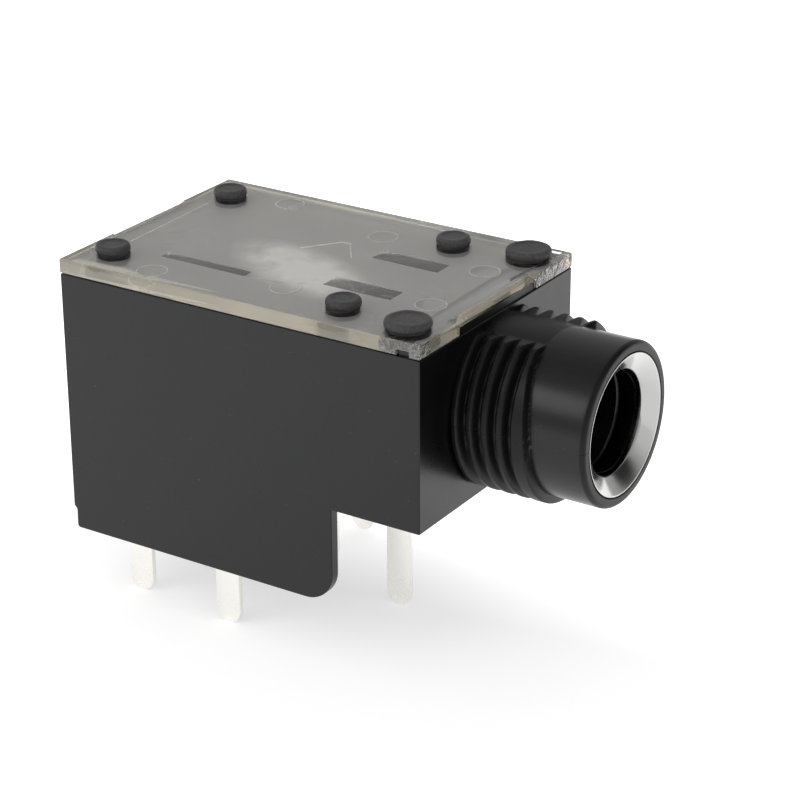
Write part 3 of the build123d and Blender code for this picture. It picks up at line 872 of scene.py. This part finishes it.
def make_post(word, x, y, form):
    """A round post through the lid with its melted head, slightly uneven."""
    post = lathe("post_" + word, head_profile(**form), along_z, POST_AROUND)
    centre = Vector((x, y, 0)) * MM
    shift_x, shift_y = HEAD_SHIFTS[word]
    head_radius = form["head_radius"]
    for vertex in post.data.vertices:
        above = vertex.co.z / MM - LID_TOP
        if above > STIFF_HEIGHT:
            spot = (vertex.co + centre) / MM
            wobble = noise.noise(spot * WOBBLE_SCALE) + RIPPLE_SHARE * noise.noise(spot * RIPPLE_SCALE)
            reach = math.hypot(vertex.co.x, vertex.co.y) / MM
            pull = crease(word, vertex) if reach > CREASE_START * head_radius else 0.0
            grow = 1 + WOBBLE_ACROSS * wobble - pull / head_radius
            vertex.co.x *= grow
            vertex.co.y *= grow
            vertex.co.z = min(vertex.co.z + WOBBLE_UP * wobble * MM, HEAD_LIMIT * MM)
            settled = ease(above / SETTLING_HEIGHT)
            vertex.co.x += shift_x * settled * MM
            vertex.co.y += shift_y * settled * MM
    move(post, x, y)
    smooth_by_angle(post, 50)
    dress(post, MELTED)


def make_posts():
    for place, (x, y, form) in POSTS.items():
        for side, end in SIDES:
            make_post(f"{place}_{end}", x, side * y, form)


# Lid, ferrule and contacts


def refined_copy(node, name):
    """A copy of a CAD node's mesh with its flat faces joined up again."""
    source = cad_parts[node]
    shape = bmesh.new()
    shape.from_mesh(source.data)
    bmesh.ops.remove_doubles(shape, verts=shape.verts, dist=0.0005 * MM)
    bmesh.ops.dissolve_limit(
        shape, angle_limit=math.radians(1.0), verts=shape.verts, edges=shape.edges
    )
    mesh = bpy.data.meshes.new(name)
    shape.to_mesh(mesh)
    shape.free()
    return new_object(name, mesh)


def reshape_pockets(lid):
    """Makes the lid's pockets shallower, and the near rear one longer."""
    for vertex in lid.data.vertices:
        if abs(vertex.co.z / MM - RIM - CAD_POCKET) < 0.001:
            vertex.co.z = (RIM + POCKET) * MM
        if abs(vertex.co.x / MM - REAR_POCKET_FRONT) < 0.02 and vertex.co.y < 0:
            vertex.co.x = (REAR_POCKET_FRONT + REAR_POCKET_LONGER) * MM


def widen_hole(lid, x, y, radius):
    """A hole for a post, with a small chamfer at the lid's top."""
    wide = radius + HOLE_AIR
    bottom = RIM - HOLE_CUT_BELOW
    top = LID_TOP + HOLE_CUT_ABOVE
    section = [(0, bottom), (wide, bottom), (wide, LID_TOP - HOLE_CHAMFER)]
    section += [(wide + HOLE_CHAMFER + HOLE_CUT_ABOVE, top), (0, top)]
    hole = lathe("hole", section, along_z, 96)
    move(hole, x, y)
    cut_away(lid, hole)


def cut_mark(lid, start, end, width):
    """A shallow groove between two points of the lid's underside."""
    (x0, y0), (x1, y1) = start, end
    across = Vector((y0 - y1, x1 - x0)).normalized() * width / 2
    outline = [(x0 - across.x, y0 - across.y), (x1 - across.x, y1 - across.y)]
    outline += [(x1 + across.x, y1 + across.y), (x0 + across.x, y0 + across.y)]
    cut_away(lid, prism("mark", outline, RIM - CUT_BELOW, RIM + MARK_DEPTH, along_z))


def cut_ejector_mark(lid, x, y):
    """A shallow round mark with a thin deeper ring at its edge."""
    bottom = RIM - CUT_BELOW
    round_mark = circle((x, y), EJECTOR_RADIUS, 64)
    cut_away(lid, prism("mark", round_mark, bottom, RIM + EJECTOR_DEPTH, along_z))
    top = RIM + EJECTOR_RING_DEPTH
    outer = EJECTOR_RADIUS + EJECTOR_RING / 2
    inner = outer - EJECTOR_RING
    section = [(inner, bottom), (outer, bottom)]
    section += [(outer - EJECTOR_RING_SLOPE, top), (inner + EJECTOR_RING_SLOPE, top)]
    ring = lathe("ring", section, along_z, 64)
    move(ring, x, y)
    cut_away(lid, ring)


def split_faces(lid):
    """Splits the lid's faces where its edges change their look."""
    splits = [((x, 0, 0), (1, 0, 0)) for x in (NEAR_CORNER_REAR, HIGHLIGHT_FRONT, FRONT_SPLIT)]
    splits += [((0, y, 0), (0, 1, 0)) for y in (-CORNER_SIDE, CORNER_SIDE)]
    shape = bmesh.new()
    shape.from_mesh(lid.data)
    for place, normal in splits:
        parts = shape.verts[:] + shape.edges[:] + shape.faces[:]
        bmesh.ops.bisect_plane(shape, geom=parts, dist=1e-7, plane_co=Vector(place) * MM, plane_no=normal)
    shape.to_mesh(lid.data)
    shape.free()


def in_light_line(point):
    """Whether a point lies in one of the thin painted light lines on the lid's underside."""
    for ((x0, y0), (x1, y1)), width in PAINTED_LIGHT_LINES:
        along = Vector((x1 - x0, y1 - y0))
        off = Vector((point.x - x0, point.y - y0))
        t = clamp(off.dot(along) / along.length_squared)
        if (off - along * t).length < width:
            return True
    return False


def in_ejector_ring(point):
    for x, y in EJECTOR_MARKS:
        if abs(math.hypot(point.x - x, point.y - y) - EJECTOR_RADIUS) < EJECTOR_RING:
            return True
    return False


def in_post_hole(point):
    for x, y, form in POSTS.values():
        if abs(math.hypot(point.x - x, abs(point.y) - y) - form["radius"] - HOLE_AIR) < HOLE_SKIN:
            return True
    return False


LID_LOOKS = (CLEAR, FROSTED, EDGE, CRAZED, SMOOTH_BLACK, PAINTED_HIGHLIGHT)


def lid_face_look(face):
    """A lid face's material, by its place and slope. It is black where a post is melted in."""
    middle = face.center / MM
    height = middle.z - RIM
    slope = abs(face.normal.z)
    near_side = middle.y < -HALF_WIDTH + SKIN
    front_end = middle.x > -SKIN
    if slope < 0.1 and in_post_hole(middle):
        return SMOOTH_BLACK
    # Ejector rings carry a painted highlight
    if height < EJECTOR_RING_DEPTH + ON_LEVEL and in_ejector_ring(middle):
        return PAINTED_HIGHLIGHT
    if face.normal.z < -0.9:
        # The painted light lines take the white highlight plastic
        if abs(height - MARK_DEPTH) < ON_LEVEL and in_light_line(middle):
            return PAINTED_HIGHLIGHT
        underside = height < ON_LEVEL or abs(height - EJECTOR_DEPTH) < ON_LEVEL
        return FROSTED if underside else CLEAR
    if slope > 0.95:
        return CLEAR
    # Sloped faces behind the front: a painted cream glow on the near side, a painted highlight on the
    # others
    if slope > 0.1 and middle.x < HIGHLIGHT_FRONT:
        return EDGE if near_side else PAINTED_HIGHLIGHT
    # Crushed corners: real crazing, with a painted light tone
    near_corner = near_side and middle.x > NEAR_CORNER_REAR
    front_corner = front_end and abs(middle.y) > CORNER_SIDE
    far_block = front_end and middle.y > FAR_BLOCK_SIDE
    if near_corner or front_corner or far_block:
        return CRAZED
    # Outer sides and ends take the painted cream glow of the edge plastic
    outer_side = abs(middle.y) > HALF_WIDTH - SKIN
    outer_end = middle.x < BODY_REAR + REAR_SKIN or middle.x > HIGHLIGHT_FRONT
    return EDGE if outer_side or outer_end else CLEAR


def make_lid():
    lid = refined_copy("lid", "clear_lid")
    reshape_pockets(lid)
    soften(lid, LID_BEVEL, segments=2, limit=40)
    for x, y, form in POSTS.values():
        for side, _ in SIDES:
            widen_hole(lid, x, side * y, form["radius"])
    for (start, end), width in PAINTED_LIGHT_LINES:
        cut_mark(lid, start, end, width)
    for x, y in EJECTOR_MARKS:
        cut_ejector_mark(lid, x, y)
    split_faces(lid)
    smooth_by_angle(lid, 25)
    dress(lid, CLEAR, replaces=["lid"])
    for material in LID_LOOKS[1:]:
        lid.data.materials.append(material)
    for face in lid.data.polygons:
        face.material_index = LID_LOOKS.index(lid_face_look(face))


def make_ferrule():
    """The flared ring in the nose's mouth, with a small round lip at its edge."""
    start = FERRULE_LOW.x
    end = FERRULE_HIGH.x
    flange = FERRULE_HIGH.y
    flange_rear = end - FLANGE_THICKNESS
    profile = [(BORE + TUBE_CHAMFER, start), (BORE, start + TUBE_CHAMFER)]
    profile += [(BORE + outside, end - behind) for outside, behind in FLARE_START]
    profile += [(flange - inside, end - behind) for inside, behind in LIP]
    profile += [(flange, flange_rear), (FERRULE_TUBE, flange_rear), (FERRULE_TUBE, start)]
    ferrule = lathe("ferrule_ring", profile, along_x, 160)
    smooth_by_angle(ferrule, 35)
    dress(ferrule, NICKEL, replaces=["ferrule"])
    ferrule.data.materials.append(NICKEL_TUBE)
    for face in ferrule.data.polygons:
        if face.center.x < (end - FLARE_DEPTH) * MM:
            face.material_index = 1


def make_contacts():
    for node, body in CONTACTS.items():
        piece = refined_copy(node, node + "_strip")
        soften(piece, STRIP_BEVEL, segments=2, limit=40)
        dress(piece, TIN, body=body, replaces=[node])


# Setting: camera, studio, floor and lamp

CAMERA_PLACE = Vector((72.01, -122.47, 62.48))
CAMERA_FORWARD = Vector((-0.49547, 0.76842, -0.40502))
CAMERA_ROLL = -0.27
FOCAL_PIXELS = 2597.5
IMAGE_PIXELS = 800
SENSOR = 36.0

# World strengths: as seen directly, and as it lights surfaces. The tones of the walls,
# the ceiling and the dark corner, the light added ahead of the mouth, and the cosines
# between which each one fades in
WORLD_SEEN = 1.0
WORLD_LIGHT = 2.05
WALL = 0.52
CEILING = 0.3
CEILING_FADE = (0.76, 0.94)
FRONT_GLOW = 0.33
FRONT_FADE = (0.9, 0.99)
DARK_CORNER = Vector((0.55, 0.6, 0.58)).normalized()
DARK_CORNER_TONE = 0.06
DARK_CORNER_FADE = (0.85, 0.95)

# The floor's glow, for rays that see it directly, a painted pool of light that grows in two directions:
# the direction in which it grows, its strength from and to, and the distances along that direction from
# and to
FLOOR_REACH = 600
FLOOR_GLOWS = (
    ((-0.1, 0.995, 0.0), (0.6, 1.05), (1, 16)),
    ((-0.9, -0.436, 0.0), (0.0, 0.15), (25, 65)),
)

KEY_PLACE = Vector((-133, -175, 126))
KEY_AIM = Vector((-9, 0, -3))
KEY_SIZE = 106
KEY_POWER = 0.078


def make_camera():
    forward = CAMERA_FORWARD.normalized()
    right = forward.cross(UP).normalized()
    up = right.cross(forward)
    roll = math.radians(CAMERA_ROLL)
    turned_right = right * math.cos(roll) + up * math.sin(roll)
    turned_up = up * math.cos(roll) - right * math.sin(roll)
    pose = Matrix((turned_right, turned_up, -forward)).transposed().to_4x4()
    pose.translation = CAMERA_PLACE * MM
    data = bpy.data.cameras.new("camera")
    data.sensor_width = SENSOR
    data.lens = SENSOR * FOCAL_PIXELS / IMAGE_PIXELS
    data.clip_start = 0.005
    data.clip_end = 10
    camera = bpy.data.objects.new("camera", data)
    camera.matrix_world = pose
    bpy.context.scene.collection.objects.link(camera)
    bpy.context.scene.camera = camera


def seen_directly(nodes, links):
    """1 for rays from the camera or by way of a gloss or a clear piece, and 0 for
    those that light a surface."""
    path = nodes.new("ShaderNodeLightPath")
    seen = path.outputs["Is Camera Ray"]
    for name in ("Is Glossy Ray", "Is Transmission Ray"):
        seen = joined(nodes, links, "MAXIMUM", seen, path.outputs[name])
    clean = joined(nodes, links, "LESS_THAN", path.outputs["Diffuse Depth"], 0.5)
    return joined(nodes, links, "MULTIPLY", seen, clean)


def towards(nodes, links, direction, fade, low, high):
    """A tone that changes with how nearly a ray runs in a direction."""
    place = nodes.new("ShaderNodeTexCoord")
    nearness = dotted(nodes, links, place.outputs["Generated"], direction)
    remap = nodes.new("ShaderNodeMapRange")
    remap.interpolation_type = "SMOOTHSTEP"
    remap.inputs["From Min"].default_value = fade[0]
    remap.inputs["From Max"].default_value = fade[1]
    remap.inputs["To Min"].default_value = low
    remap.inputs["To Max"].default_value = high
    links.new(nearness, remap.inputs["Value"])
    return remap.outputs["Result"]


def make_world():
    """A plain studio: grey walls, a darker ceiling and one dark corner, and white as
    the camera sees it."""
    world = bpy.data.worlds.new("studio")
    world.use_nodes = True
    nodes = world.node_tree.nodes
    links = world.node_tree.links
    background = nodes["Background"]

    room = towards(nodes, links, UP, CEILING_FADE, WALL, CEILING)
    front = towards(nodes, links, (1, 0, 0), FRONT_FADE, 0.0, FRONT_GLOW)
    corner = towards(nodes, links, DARK_CORNER, DARK_CORNER_FADE, 1.0, DARK_CORNER_TONE)
    room = joined(nodes, links, "ADD", room, front)
    room = joined(nodes, links, "MULTIPLY", room, corner)
    path = nodes.new("ShaderNodeLightPath")
    shown = nodes.new("ShaderNodeMix")
    shown.data_type = "RGBA"
    colours = [socket for socket in shown.inputs if socket.type == "RGBA"]
    colours[1].default_value = (1, 1, 1, 1)
    links.new(path.outputs["Is Camera Ray"], shown.inputs["Factor"])
    links.new(room, colours[0])
    result = [socket for socket in shown.outputs if socket.type == "RGBA"][0]
    links.new(result, background.inputs["Color"])

    strength = nodes.new("ShaderNodeMapRange")
    strength.inputs["To Min"].default_value = WORLD_LIGHT
    strength.inputs["To Max"].default_value = WORLD_SEEN
    links.new(seen_directly(nodes, links), strength.inputs["Value"])
    links.new(strength.outputs["Result"], background.inputs["Strength"])
    bpy.context.scene.world = world


def make_floor():
    reach = FLOOR_REACH * MM
    level = FLOOR_LEVEL * MM
    corners = [(-reach, -reach, level), (reach, -reach, level)]
    corners += [(reach, reach, level), (-reach, reach, level)]
    mesh = bpy.data.meshes.new("floor")
    mesh.from_pydata(corners, [], [(0, 1, 2, 3)])
    floor = new_object("floor", mesh)
    material, nodes, links, shader = new_material("pale_floor")
    tone = object_noise(nodes, links, 0.02, detail=2.0)
    tint(nodes, links, shader, tone, ((0.0, grey(0.55)), (1.0, grey(0.57))))
    shader.inputs["Roughness"].default_value = 1.0
    shader.inputs["Specular IOR Level"].default_value = 0.0
    shader.inputs["Emission Color"].default_value = (1, 1, 1, 1)
    glows = []
    place = nodes.new("ShaderNodeTexCoord")
    for direction, strengths, distances in FLOOR_GLOWS:
        along = dotted(nodes, links, place.outputs["Object"], direction)
        start, end = distances
        glows.append(spread(nodes, links, along, *strengths, start * MM, end * MM))
    brighter = joined(nodes, links, "ADD", *glows)
    glow = joined(nodes, links, "MULTIPLY", seen_directly(nodes, links), brighter)
    links.new(glow, shader.inputs["Emission Strength"])
    mesh.materials.append(material)


def make_lamp():
    data = bpy.data.lights.new("key", "AREA")
    data.energy = KEY_POWER
    data.size = KEY_SIZE * MM
    lamp = bpy.data.objects.new("key", data)
    lamp.location = KEY_PLACE * MM
    aim = KEY_AIM * MM - lamp.location
    lamp.rotation_euler = aim.to_track_quat("-Z", "Y").to_euler()
    bpy.context.scene.collection.objects.link(lamp)


make_camera()
make_world()
make_floor()
make_lamp()
make_housing_shell()
make_rim_and_chamber()
make_nose()
make_posts()
make_lid()
make_ferrule()
make_contacts()

bpy.context.scene.view_settings.view_transform = "Standard"
